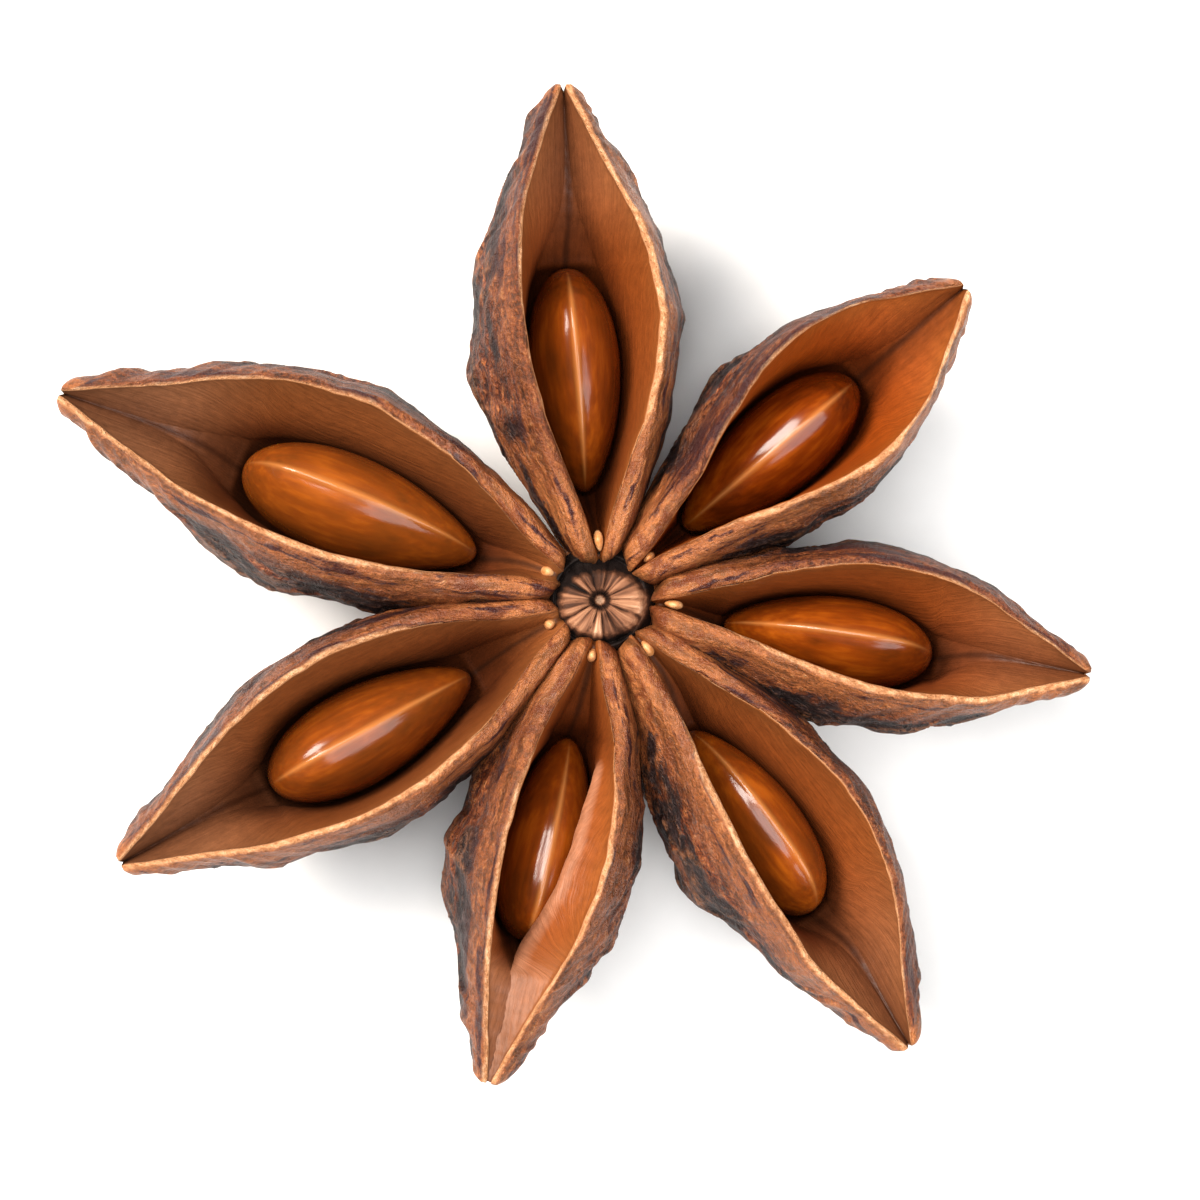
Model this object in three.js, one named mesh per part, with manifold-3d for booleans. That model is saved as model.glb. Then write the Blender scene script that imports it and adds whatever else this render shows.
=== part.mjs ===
// A dried star anise fruit, in millimetres, +Z up, resting on the plane z = 0.
// Seven boat-shaped follicles are grown together round a short central column. Each has split
// along its upper edge into two lips and shows one hard, glossy seed lying on edge inside.
// The column ends in a small lobed disc on top and in the scar of the broken stalk below.
// The origin is on the scar, straight below the middle of the disc. The follicles and the column
// are one solid, the husk, and each seed is a loose solid of its own.
import * as THREE from "three";
import { mergeVertices } from "three/addons/utils/BufferGeometryUtils.js";
import Module from "manifold-3d";

const { clamp, degToRad, smoothstep } = THREE.MathUtils;
const wasm = await Module();
wasm.setup();

// Driving dimensions of the whole fruit.
const RIM_HEIGHT = 7.7; // the lips at mid length, above the surface that the fruit rests on
const ROOT_RADIUS = 0.75; // where a follicle's middle line starts, inside the column
const KEEL_SINK = 0.14; // how far the keels are worn flat where the fruit rests
const ROLL_PIVOT_DEPTH = 3.6; // the line that a follicle rolls about, below its lips
const CAVITY_HALF_WIDTH = 1.9; // round the seed
const BARK_RELIEF = 0.11; // each wave of the lumps in the outer skin, up and down
const BEAK_FROM = 0.78; // the share of the length from which the beak lifts
const BEAK_THICKNESS = 0.12; // its end, below the lips
const SEED_THICKNESS = 2.7;
const SEED_HEIGHT = 4.4;
const SEED_DEPTH = 1.45; // from the lips down to the seed's upper edge

// One row for each follicle. Azimuths turn from +X towards +Y, in degrees. The middle line leaves
// the column at base and ends at tip, reach away from the axis, and bows sideways on the way.
// width is half of the body and gape half of the opening, each where it is widest, and the
// opening is widest at the share peak of the length. roll turns the opening towards the side that
// lies ahead, anticlockwise from above. lift raises the beak, and closed is the share of the
// length at the beak where the two halves have hardly parted.
// The middle of its seed lies at a share of the length and leans to the side that lies ahead.
// plump is the seed's thickness and height against the usual seed.
const FOLLICLES = [
  {
    name: "north", base: 96, tip: 94.1, reach: 15.1, bow: 0.3, width: 3.15,
    gape: 1.98, peak: 0.53, roll: -11, lift: 0.7, closed: 0,
    seed: { at: 0.4, lean: 0.05, length: 6.6, plump: 0.99 },
  },
  {
    name: "northwest", base: 152, tip: 159, reach: 16.9, bow: 0.05, width: 3.2,
    gape: 2.27, peak: 0.49, roll: -11, lift: 0.6, closed: 0,
    seed: { at: 0.42, lean: 0.1, length: 7.3, plump: 1.09 },
  },
  {
    name: "southwest", base: 203, tip: 208.8, reach: 16, bow: 0.05, width: 2.95,
    gape: 2.24, peak: 0.47, roll: -2, lift: 0.5, closed: 0,
    seed: { at: 0.46, lean: 0.1, length: 6.7, plump: 1.05 },
  },
  {
    name: "south", base: 260, tip: 257, reach: 14.5, bow: 0, width: 3,
    gape: 1.45, peak: 0.46, roll: 6, lift: 0.5, closed: 0.3,
    seed: { at: 0.47, lean: 0, length: 6.1, plump: 0.97 },
  },
  {
    name: "southeast", base: 308, tip: 304.7, reach: 15.9, bow: 0.1, width: 2.95,
    gape: 1.8, peak: 0.56, roll: 15, lift: 0.4, closed: 0,
    seed: { at: 0.47, lean: -0.2, length: 6.4, plump: 0.97 },
  },
  {
    name: "east", base: 353, tip: 351.3, reach: 14.5, bow: 0, width: 2.75,
    gape: 1.75, peak: 0.57, roll: 8.5, lift: 0.3, closed: 0,
    seed: { at: 0.44, lean: -0.17, length: 6.2, plump: 0.96 },
  },
  {
    name: "northeast", base: 402, tip: 400.6, reach: 14.05, bow: 0, width: 2.75,
    gape: 2.07, peak: 0.62, roll: 0, lift: 0.8, closed: 0,
    seed: { at: 0.437, lean: 0, length: 6.6, plump: 1.01 },
  },
];

// A smooth curve through [share, value] pairs, as a function of the share.
function curve(...points) {
  const slope = (i) => {
    const before = points[Math.max(i - 1, 0)];
    const after = points[Math.min(i + 1, points.length - 1)];
    return (after[1] - before[1]) / (after[0] - before[0]);
  };
  return (share) => {
    let i = 0;
    while (i < points.length - 2 && share > points[i + 1][0]) i += 1;
    const [x0, y0] = points[i];
    const [x1, y1] = points[i + 1];
    const t = clamp((share - x0) / (x1 - x0), 0, 1);
    const t2 = t * t;
    const t3 = t2 * t;
    const bend = slope(i) * (t3 - 2 * t2 + t) + slope(i + 1) * (t3 - t2);
    return y0 * (2 * t3 - 3 * t2 + 1) + y1 * (3 * t2 - 2 * t3) + (x1 - x0) * bend;
  };
}

// How a follicle's form runs from the column, share 0, to the beak, share 1.
const GAPE_PEAK = 0.52;
const rimDrop = curve(
  [0, 0.95], [0.1, 0.5], [0.25, 0.15], [0.45, 0], [0.7, 0.12], [0.88, 0.42], [1, 0.55],
);
const keelHeight = curve(
  [0, 3.4], [0.1, 2.2], [0.25, 0.55], [0.42, 0], [0.58, 0.65], [0.74, 2.5], [0.88, 4.9], [1, 7.1],
);
const widthShare = curve(
  [0, 0.14], [0.1, 0.42], [0.2, 0.61], [0.3, 0.82], [0.48, 1], [0.58, 0.96], [0.78, 0.63], [1, 0.12],
);
const gapeShare = curve(
  [0, 0.05], [0.09, 0.2], [0.17, 0.36], [0.33, 0.77], [GAPE_PEAK, 1], [0.71, 0.83], [0.86, 0.42], [1, 0.03],
);
const rollShare = curve(
  [0, 0.2], [0.16, 0.62], [0.26, 0.8], [0.45, 1], [0.64, 0.88], [0.76, 0.55], [0.88, 0.22], [1, 0],
);
const lipThickness = curve([0, 0.3], [0.15, 0.45], [0.4, 0.24], [1, 0.14]);
const cavityShare = curve(
  [0, 0.03], [0.1, 0.2], [0.2, 0.5], [0.34, 0.92], [0.5, 1], [0.65, 0.86], [0.8, 0.48], [1, 0.04],
);
const cavityDepthShare = curve(
  [0, 0.06], [0.08, 0.3], [0.2, 0.76], [0.35, 0.87], [0.6, 0.86], [0.8, 0.78], [1, 0.3],
);

// A point of the follicle's middle line in plan, and the direction across it, to the side ahead.
function middleLine(follicle, share) {
  const at = (azimuth, radius) =>
    new THREE.Vector2(radius, 0).rotateAround(new THREE.Vector2(), degToRad(azimuth));
  const root = at(follicle.base, ROOT_RADIUS);
  const tip = at(follicle.tip, follicle.reach);
  const chord = tip.clone().sub(root).normalize();
  const aside = new THREE.Vector2(-chord.y, chord.x);
  const bend = root.clone().lerp(tip, 0.5).addScaledVector(aside, 2 * follicle.bow);
  const line = new THREE.QuadraticBezierCurve(root, bend, tip);
  const along = line.getTangent(share);
  return { point: line.getPoint(share), along, across: new THREE.Vector2(-along.y, along.x) };
}

// The height of the lips.
function rimHeight(follicle, share) {
  return RIM_HEIGHT - rimDrop(share) + follicle.lift * smoothstep(share, BEAK_FROM, 1);
}

const cubic = (a, b, c, d, t) =>
  a * (1 - t) ** 3 + 3 * b * t * (1 - t) ** 2 + 3 * c * t * t * (1 - t) + d * t ** 3;

// Half of the wall's section, from the keel up the outside (run 0 to 1), over the lip (1 to 2)
// and down the inside to the floor of the cavity (2 to 3), as [distance from the middle, height].
function halfSection(follicle, share, run) {
  const top = rimHeight(follicle, share);
  const keel = keelHeight(share) - KEEL_SINK;
  const depth = top - keel;
  const width = follicle.width * widthShare(share);
  const gape = follicle.gape * gapeShare(share ** (Math.log(GAPE_PEAK) / Math.log(follicle.peak)));
  const lip = lipThickness(share);
  const lipOut = Math.min(gape + lip, Math.max(width, gape + 0.1));
  const lipFoot = top - 0.5 * lip;
  if (run <= 1) {
    return [
      cubic(0, 0.66 * width, 1.36 * width, lipOut, run),
      cubic(keel, keel + 0.03 * depth, keel + 0.6 * depth, lipFoot, run),
    ];
  }
  if (run < 2) {
    const turn = (run - 1) * Math.PI;
    const half = (lipOut - gape) / 2;
    return [gape + half + half * Math.cos(turn), lipFoot + 0.5 * lip * Math.sin(turn)];
  }
  const down = run - 2;
  const hollow = CAVITY_HALF_WIDTH * cavityShare(share);
  const shut = smoothstep(share, 1 - follicle.closed, 1.12 - follicle.closed);
  const floor = top - depth * cavityDepthShare(share) * (1 - 0.75 * shut);
  return [
    cubic(gape, 0.5 * gape + 0.58 * hollow, 1.06 * hollow, 0, down),
    cubic(lipFoot, floor + 0.6 * (lipFoot - floor), floor, floor, down),
  ];
}

// Large lumps of the dried outer skin, fading out at the keel, at the lips and by the column.
function barkRelief(phase, share, run) {
  const rough = smoothstep(share, 0.12, 0.45) * Math.sin(Math.PI * run);
  const lumps =
    Math.sin(23 * share + 5 * run + 1.9 * phase) +
    0.7 * Math.sin(37 * share - 9 * run + 4.1 * phase) +
    0.8 * Math.sin(11 * run + 13 * share + 2.7 * phase);
  return BARK_RELIEF * rough * lumps;
}

// Where a section point [distance towards the side ahead, height] lies on the fruit.
function placed(follicle, share, aside, height) {
  const { point, across } = middleLine(follicle, share);
  const pivot = new THREE.Vector2(0, RIM_HEIGHT - ROLL_PIVOT_DEPTH);
  const roll = degToRad(follicle.roll) * rollShare(share);
  const turned = new THREE.Vector2(-aside, height).rotateAround(pivot, roll);
  const plan = point.addScaledVector(across, -turned.x);
  return new THREE.Vector3(plan.x, plan.y, turned.y);
}

// The positions alone, with each shared corner kept once.
function closed(geometry) {
  geometry.deleteAttribute("normal");
  geometry.deleteAttribute("uv");
  return mergeVertices(geometry, 1e-5);
}

// A follicle is a ball whose axis becomes the middle line, and whose upper half is pushed down
// into the lower one to make the boat.
const OUTER_STEPS = 7;
const LIP_STEPS = 2;
const INNER_STEPS = 4;
const HALF_STEPS = OUTER_STEPS + LIP_STEPS + INNER_STEPS;
const STATIONS = 21;

function runOf(step) {
  if (step <= OUTER_STEPS) return step / OUTER_STEPS;
  if (step <= OUTER_STEPS + LIP_STEPS) return 1 + (step - OUTER_STEPS) / LIP_STEPS;
  return 2 + (step - OUTER_STEPS - LIP_STEPS) / INNER_STEPS;
}

function follicleGeometry(follicle, index) {
  const geometry = closed(new THREE.SphereGeometry(1, 2 * HALF_STEPS, STATIONS));
  const position = geometry.attributes.position;
  const vertex = new THREE.Vector3();
  for (let i = 0; i < position.count; i += 1) {
    vertex.fromBufferAttribute(position, i);
    const share = Math.acos(clamp(vertex.y, -1, 1)) / Math.PI;
    if (Math.hypot(vertex.x, vertex.z) < 1e-4) {
      // The two ends of the ball: inside the column, and at the end of the beak.
      const root = (keelHeight(0) + rimHeight(follicle, 0)) / 2;
      const height = share < 0.5 ? root : rimHeight(follicle, 1) - BEAK_THICKNESS;
      position.setXYZ(i, ...placed(follicle, share, 0, height));
      continue;
    }
    const turn = Math.atan2(vertex.z, vertex.x) / Math.PI;
    const side = Math.sign(turn) || 1;
    const run = runOf(Math.round(Math.abs(turn) * HALF_STEPS));
    const [distance, height] = halfSection(follicle, share, run);
    const relief = run < 1 ? barkRelief(index + side, share, run) : 0;
    position.setXYZ(i, ...placed(follicle, share, side * (distance + relief), height));
  }
  return geometry;
}

// The column: a turned shape whose top is pinched into two lobes for each follicle.
const LOBES = 2 * FOLLICLES.length;
const LOBE_GROOVE = 0.1;
const SCAR_RADIUS = 1.25;
const SCAR_OFFSET = 0.12; // the stalk stood slightly to one side of the axis
const COLUMN_OUTLINE = [
  [0, -KEEL_SINK],
  [SCAR_RADIUS, -KEEL_SINK],
  [1.15, 0.7],
  [1.2, 1.5],
  [2, 2.4],
  [2.35, 3.8],
  [1.9, 5.3],
  [1.3, 6.35],
  [1.15, 6.68],
  [0.8, 6.82],
  [0.42, 6.72],
  [0.25, 6.4],
  [0, 6.3],
];

function columnGeometry() {
  const outline = COLUMN_OUTLINE.map(([radius, height]) => new THREE.Vector2(radius, height));
  const geometry = closed(new THREE.LatheGeometry(outline, 3 * LOBES).rotateX(Math.PI / 2));
  const position = geometry.attributes.position;
  for (let i = 0; i < position.count; i += 1) {
    const [x, y, z] = [position.getX(i), position.getY(i), position.getZ(i)];
    const angle = Math.atan2(y, x);
    const groove = 0.5 - 0.5 * Math.cos(LOBES * angle);
    const onTop = smoothstep(z, 6.2, 6.7) * smoothstep(Math.hypot(x, y), 0.25, 0.7);
    const atScar = 1 - smoothstep(z, 1, 3);
    const swell = 1 + atScar * (0.05 * Math.sin(3 * angle + 0.4) + 0.04 * Math.cos(2 * angle + 1.1));
    position.setXYZ(i, x * swell + SCAR_OFFSET * atScar, y * swell, z - LOBE_GROOVE * onTop * groove);
  }
  return geometry;
}

// Between three.js geometry and manifold-3d solids.
function solidOf(geometry) {
  const triVerts = new Uint32Array(geometry.index.array);
  const vertProperties = new Float32Array(geometry.attributes.position.array);
  return new wasm.Manifold(new wasm.Mesh({ numProp: 3, vertProperties, triVerts }));
}

function geometryOf(solid) {
  const { vertProperties, triVerts } = solid.getMesh();
  const geometry = new THREE.BufferGeometry();
  geometry.setAttribute("position", new THREE.BufferAttribute(vertProperties, 3));
  geometry.setIndex(new THREE.BufferAttribute(triVerts, 1));
  geometry.computeVertexNormals();
  return geometry;
}

// The husk is worn away below the resting plane, which leaves a small flat on each keel.
function huskGeometry() {
  const below = new THREE.BoxGeometry(50, 50, 10).translate(0, 0, -5);
  let solid = solidOf(columnGeometry());
  FOLLICLES.forEach((follicle, index) => {
    solid = solid.add(solidOf(follicleGeometry(follicle, index)));
  });
  return geometryOf(solid.subtract(solidOf(closed(below))));
}

// A seed: a flattened egg on edge, blunt outwards and drawn to a point towards the column.
const SEED_AROUND = 12;
const SEED_ALONG = 10;

function seedGeometry(follicle) {
  const { at, lean, length, plump } = follicle.seed;
  const { along } = middleLine(follicle, at);
  const middle = rimHeight(follicle, at) - SEED_DEPTH - SEED_HEIGHT / 2;
  const geometry = closed(new THREE.SphereGeometry(1, SEED_AROUND, SEED_ALONG));
  const position = geometry.attributes.position;
  for (let i = 0; i < position.count; i += 1) {
    const [x, y, z] = [position.getX(i), position.getY(i), position.getZ(i)];
    const taper = plump * (1 - 0.2 * y - 0.1 * y * y);
    const aside = lean - 0.5 * SEED_THICKNESS * taper * z;
    const vertex = placed(follicle, at, aside, middle + 0.5 * SEED_HEIGHT * taper * x);
    const out = -0.5 * length * y;
    position.setXYZ(i, vertex.x + along.x * out, vertex.y + along.y * out, vertex.z);
  }
  geometry.computeVertexNormals();
  return geometry;
}

const starAnise = new THREE.Group();

const bark = new THREE.MeshStandardMaterial({ color: 0x6e4430, roughness: 0.8, metalness: 0 });
const husk = new THREE.Mesh(huskGeometry(), bark);
husk.name = "husk";
starAnise.add(husk);

for (const follicle of FOLLICLES) {
  const seedCoat = new THREE.MeshStandardMaterial({ color: 0x9a4f16, roughness: 0.25, metalness: 0 });
  const seed = new THREE.Mesh(seedGeometry(follicle), seedCoat);
  seed.name = `seed_${follicle.name}`;
  starAnise.add(seed);
}

export default starAnise;
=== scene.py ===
# A dried star anise fruit, lying open side up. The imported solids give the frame, and every piece
# below stands where its solid stands. Sizes are worked in millimetres and stored in metres.
import math

import bmesh
import bpy
import numpy as np
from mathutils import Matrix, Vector, noise


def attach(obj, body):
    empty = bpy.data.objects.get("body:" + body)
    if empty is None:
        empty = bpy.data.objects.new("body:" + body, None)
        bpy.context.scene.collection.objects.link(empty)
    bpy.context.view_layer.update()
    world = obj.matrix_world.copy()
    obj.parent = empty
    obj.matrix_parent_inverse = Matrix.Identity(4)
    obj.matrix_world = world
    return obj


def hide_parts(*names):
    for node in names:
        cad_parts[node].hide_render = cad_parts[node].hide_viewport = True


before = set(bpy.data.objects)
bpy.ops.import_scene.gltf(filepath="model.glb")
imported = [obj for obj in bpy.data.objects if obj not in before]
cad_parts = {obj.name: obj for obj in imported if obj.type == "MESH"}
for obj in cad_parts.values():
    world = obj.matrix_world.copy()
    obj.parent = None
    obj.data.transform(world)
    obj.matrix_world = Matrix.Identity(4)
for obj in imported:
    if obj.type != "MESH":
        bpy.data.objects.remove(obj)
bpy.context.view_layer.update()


# ------------------------------------------------------------------------------------- the column
# The column is the woody axis that all seven follicles grow from. It ends on top in a small disc
# pinched into wedges round a pin-prick hole, and below in the scar where the stalk broke off.
# Dried plant tissue, grown in one with the follicles.
MM = 0.001
LOBES = 14
COLUMN_TURNS = 14 * LOBES
COLUMN_RINGS = 150
CREASE_DEPTH = 0.26
DISC_CENTRE = (0.07, -0.1)
DISC_HALF_WIDTHS = (1.36, 1.04)
DISC_FROM, SCAR_TO = 5.9, 0.3
STALK_OFFSET = 0.12
SCAR_HOLLOW = 0.16


def curve(*points):
    """A smooth curve through (share, value) pairs, as a function of an array of shares."""
    shares, values = np.array(points, float).T
    slopes = np.empty(len(points))
    slopes[1:-1] = (values[2:] - values[:-2]) / (shares[2:] - shares[:-2])
    slopes[0] = (values[1] - values[0]) / (shares[1] - shares[0])
    slopes[-1] = (values[-1] - values[-2]) / (shares[-1] - shares[-2])

    def value(share):
        i = np.clip(np.searchsorted(shares, share) - 1, 0, len(points) - 2)
        span = shares[i + 1] - shares[i]
        t = np.clip((share - shares[i]) / span, 0, 1)
        bend = slopes[i] * (t**3 - 2 * t**2 + t) + slopes[i + 1] * (t**3 - t**2)
        start, end = 2 * t**3 - 3 * t**2 + 1, 3 * t**2 - 2 * t**3
        return values[i] * start + values[i + 1] * end + span * bend

    return value


def ease(value, low, high):
    """0 below low, 1 above high, and smooth between them."""
    t = np.clip((value - low) / (high - low), 0, 1)
    return t * t * (3 - 2 * t)


def wander(x, y=0.0, z=0.0):
    """Smooth noise between about -1 and 1, for arrays of places."""
    x, y, z = np.broadcast_arrays(x, y, z)
    flat = [noise.noise(place) for place in zip(x.ravel(), y.ravel(), z.ravel())]
    return np.array(flat).reshape(x.shape)


def linear(code):
    """An sRGB hex colour as linear RGBA."""
    channels = [int(code[i : i + 2], 16) / 255 for i in (1, 3, 5)]
    toned = [c / 12.92 if c <= 0.04045 else ((c + 0.055) / 1.055) ** 2.4 for c in channels]
    return (*toned, 1.0)


def add(tree, kind, *values, **named):
    """A shader node. Its open sockets are filled in order, or by name where a name starts with a
    capital; the other names are its settings. Gives its first open output."""
    node = tree.nodes.new("ShaderNode" + kind)
    stops = named.pop("stops", ())
    for name, value in named.items():
        if name[0].islower():
            setattr(node, name, value)
    filled = list(zip([socket for socket in node.inputs if socket.enabled], values))
    capitals = [name for name in named if name[0].isupper()]
    filled += [(node.inputs[name.replace("_", " ")], named[name]) for name in capitals]
    for socket, value in filled:
        if isinstance(value, bpy.types.NodeSocket):
            tree.links.new(value, socket)
        else:
            socket.default_value = linear(value) if isinstance(value, str) else value
    for position, colour in stops[2:]:
        node.color_ramp.elements.new(position)
    for i, (position, colour) in enumerate(stops):
        node.color_ramp.elements[i].position = position
        node.color_ramp.elements[i].color = linear(colour)
    return next(output for output in node.outputs if output.enabled)


def shell(name):
    """An empty node material and its shader."""
    material = bpy.data.materials.new(name)
    material.use_nodes = True
    return material, material.node_tree, material.node_tree.nodes["Principled BSDF"]


def finish_piece(name, mesh, slot, nodes, *finishes):
    """The mesh becomes a piece that rides on the fruit and stands for its solids."""
    for finish in finishes:
        mesh.materials.append(finish)
    mesh.shade_smooth()
    piece = bpy.data.objects.new(name, mesh)
    bpy.context.scene.collection.objects.link(piece)
    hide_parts(*nodes)
    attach(piece, "root")


def put(bm, places):
    """Moves the corners of a bmesh to places in millimetres, and turns its faces outwards."""
    for vert, place in zip(bm.verts, places * MM):
        vert.co = place
    bmesh.ops.recalc_face_normals(bm, faces=bm.faces)


def mesh_of(name, bm):
    mesh = bpy.data.meshes.new(name)
    bm.to_mesh(mesh)
    bm.free()
    return mesh


def raise_skin(mesh, relief):
    """Moves each corner out along its normal by its relief in millimetres."""
    count = len(mesh.vertices)
    places, normals = np.empty(count * 3), np.empty(count * 3)
    mesh.vertices.foreach_get("co", places)
    mesh.vertices.foreach_get("normal", normals)
    places = places.reshape(-1, 3) + normals.reshape(-1, 3) * relief[:, None] * MM
    places[:, 2] = np.maximum(places[:, 2], 0)
    mesh.vertices.foreach_set("co", places.ravel())
    mesh.update()


def mark(mesh, name, *columns):
    """Keeps three values for each corner, for the materials to read."""
    values = np.stack(np.broadcast_arrays(*columns), axis=-1).astype(np.float32)
    mesh.attributes.new(name, "FLOAT_VECTOR", "POINT").data.foreach_set("vector", values.ravel())


# The dried outer skin of the fruit. It shrank as it dried, so it is matt and granular, in patches
# of charred grey, red brown and orange brown, netted with crests, and rubbed to tan on the lips.
# "grain" holds millimetres along and around, and "form" the share of the length, the distance in
# millimetres from the split edge, positive inwards, and the relief. "wear" starts with how far the
# lip is rubbed, which also sets its painted sheen.
def skin_finish():
    skin, tree, shader = shell("dried_fruit_skin")
    grain = add(tree, "Attribute", attribute_name="grain").node.outputs["Vector"]
    form = add(tree, "Attribute", attribute_name="form").node.outputs["Vector"]
    wear = add(tree, "Attribute", attribute_name="wear").node.outputs["Vector"]
    share, from_edge, relief = add(tree, "SeparateXYZ", form).node.outputs
    rub = add(tree, "SeparateXYZ", wear)
    # Blotches 2 mm across, streaks 3 mm long and 0.4 mm apart, granules of 0.25 mm, grit of 0.1 mm,
    # and clouds of pale bloom 3 mm across.
    pitch = add(tree, "VectorMath", grain, (0.4, 0.6, 1), operation="MULTIPLY")
    patches = add(
        tree, "TexNoise", Vector=pitch, Scale=1.0, Detail=6.0, Roughness=0.6, Distortion=0.6
    )
    pitch = add(tree, "VectorMath", grain, (0.36, 2.4, 1), operation="MULTIPLY")
    streaks = add(tree, "TexNoise", Vector=pitch, Scale=1.0, Detail=5.0, Roughness=0.6)
    pitch = add(tree, "VectorMath", grain, (3.6, 4.4, 1), operation="MULTIPLY")
    granules = add(tree, "TexNoise", Vector=pitch, Scale=1.0, Detail=4.0, Roughness=0.72)
    pitch = add(tree, "VectorMath", grain, (10.0, 11.0, 1), operation="MULTIPLY")
    grit = add(tree, "TexNoise", Vector=pitch, Scale=1.0, Detail=2.0, Roughness=0.7)
    pitch = add(tree, "VectorMath", grain, (0.3, 0.4, 1), operation="MULTIPLY")
    bloom = add(tree, "TexNoise", Vector=pitch, Scale=1.0, Detail=4.0, Roughness=0.65)
    # Netted crinkles 0.8 mm across: a crest is where the noise crosses the middle.
    pitch = add(tree, "VectorMath", grain, (1.1, 1.5, 1), operation="MULTIPLY")
    netting = add(
        tree, "TexNoise", Vector=pitch, Scale=1.0, Detail=3.0, Roughness=0.55, Distortion=1.0
    )
    off_crest = add(tree, "Math", netting, 0.5, operation="SUBTRACT")
    off_crest = add(tree, "Math", off_crest, operation="ABSOLUTE")
    on_lip = add(tree, "MapRange", from_edge, -1.9, -0.5, interpolation_type="SMOOTHSTEP")
    by_column = add(tree, "MapRange", share, 0.38, 0.12, interpolation_type="SMOOTHSTEP")
    by_beak = add(tree, "MapRange", share, 0.93, 0.99, interpolation_type="SMOOTHSTEP")
    by_end = add(tree, "Math", by_column, by_beak, operation="MAXIMUM")
    crest = add(tree, "MapRange", off_crest, 0.04, 0.0, interpolation_type="SMOOTHSTEP")
    for smooth in (on_lip, by_column):
        wrinkled = add(tree, "Math", 1.0, smooth, operation="SUBTRACT")
        crest = add(tree, "Math", crest, wrinkled, operation="MULTIPLY")
    # Where rubbed, the skin is orange brown to tan; the rest is charred, in streaks on the lips.
    rubbed = add(tree, "Math", rub, on_lip, operation="MULTIPLY")
    rubbed = add(tree, "Math", rubbed, by_end, operation="MAXIMUM")
    blotches = add(tree, "Mix", on_lip, patches, streaks)
    charred = add(tree, "Math", granules, 0.35, blotches, operation="MULTIPLY_ADD")
    charred = add(tree, "Math", rubbed, -0.09, charred, operation="MULTIPLY_ADD")
    crisp = add(tree, "MapRange", on_lip, 0.0, 1.0, 0.67, 0.76)
    charred = add(tree, "MapRange", charred, 0.6, crisp, interpolation_type="SMOOTHSTEP")
    fine = add(tree, "Math", grit, 0.35, granules, operation="MULTIPLY_ADD")
    fine = add(tree, "Math", fine, 0.175, operation="SUBTRACT")
    brown = add(
        tree, "ValToRGB", fine,
        stops=[(0.3, "#1b0a06"), (0.42, "#4a1e0e"), (0.52, "#7a3b1b"), (0.64, "#ab6536"),
               (0.76, "#d39a66")],
    )
    # Rubbed lips are tan, with darker cords left between the worn ones. The tan is partly wear and
    # partly a painted sheen, strongest on the lips turned to the light.
    cords = add(tree, "MapRange", streaks, 0.36, 0.6)
    worn_and_sheen = add(tree, "Math", rubbed, 0.6, cords, operation="MULTIPLY")
    strength = add(tree, "MapRange", by_column, 0.0, 1.0, 0.62, 0.8)
    worn_and_sheen = add(tree, "Math", worn_and_sheen, strength, operation="MULTIPLY")
    brown = add(tree, "Mix", worn_and_sheen, brown, "#c87f4b", data_type="RGBA")
    ribbed = add(tree, "MapRange", streaks, 0.36, 0.62, 0.45, 1.35)
    strength = add(tree, "MapRange", on_lip, 0.0, 1.0, 0.55, 1.0)
    brown = add(tree, "Mix", strength, brown, ribbed, data_type="RGBA", blend_type="MULTIPLY")
    # Near the column the lips are blotched with plum.
    plum = add(tree, "MapRange", netting, 0.47, 0.6, 0.0, 0.72)
    plum = add(tree, "Math", plum, by_column, operation="MULTIPLY")
    brown = add(tree, "Mix", plum, brown, "#602914", data_type="RGBA")
    # Char is black to grey on the flanks and maroon on the lips.
    char = add(
        tree, "ValToRGB", fine,
        stops=[(0.3, "#090404"), (0.45, "#1a0f0e"), (0.58, "#2e1f1e"), (0.74, "#584540")],
    )
    char = add(tree, "Mix", on_lip, char, "#391815", data_type="RGBA")
    tones = add(tree, "Mix", charred, brown, char, data_type="RGBA")
    # Raised folds are paler in grains, partly worn and partly a painted highlight on their crests.
    # Painted shade darkens the hollows, less where the lips are rubbed, and bloom dulls the skin in
    # patches.
    high = add(tree, "MapRange", relief, 0.01, 0.08, interpolation_type="SMOOTHSTEP")
    high = add(tree, "Math", crest, 0.4, high, operation="MULTIPLY_ADD", use_clamp=True)
    grains = add(tree, "MapRange", granules, 0.4, 0.62, 0.0, 0.42)
    high = add(tree, "Math", high, grains, operation="MULTIPLY")
    tones = add(tree, "Mix", high, tones, "#b97546", data_type="RGBA")
    # Painted shade in the hollows of the relief.
    low = add(tree, "MapRange", relief, -0.01, -0.06, interpolation_type="SMOOTHSTEP")
    bare = add(tree, "MapRange", rubbed, 0.0, 0.6, 0.65, 0.1)
    low = add(tree, "Math", low, bare, operation="MULTIPLY")
    tones = add(tree, "Mix", low, tones, "#180e0c", data_type="RGBA")
    dusty = add(tree, "MapRange", bloom, 0.52, 0.64, interpolation_type="SMOOTHSTEP")
    speckled = add(tree, "MapRange", granules, 0.45, 0.62, interpolation_type="SMOOTHSTEP")
    dusty = add(tree, "Math", dusty, speckled, operation="MULTIPLY")
    dusty = add(tree, "Math", dusty, 0.3, operation="MULTIPLY")
    tones = add(tree, "Mix", dusty, tones, "#6f5f5c", data_type="RGBA")
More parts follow.
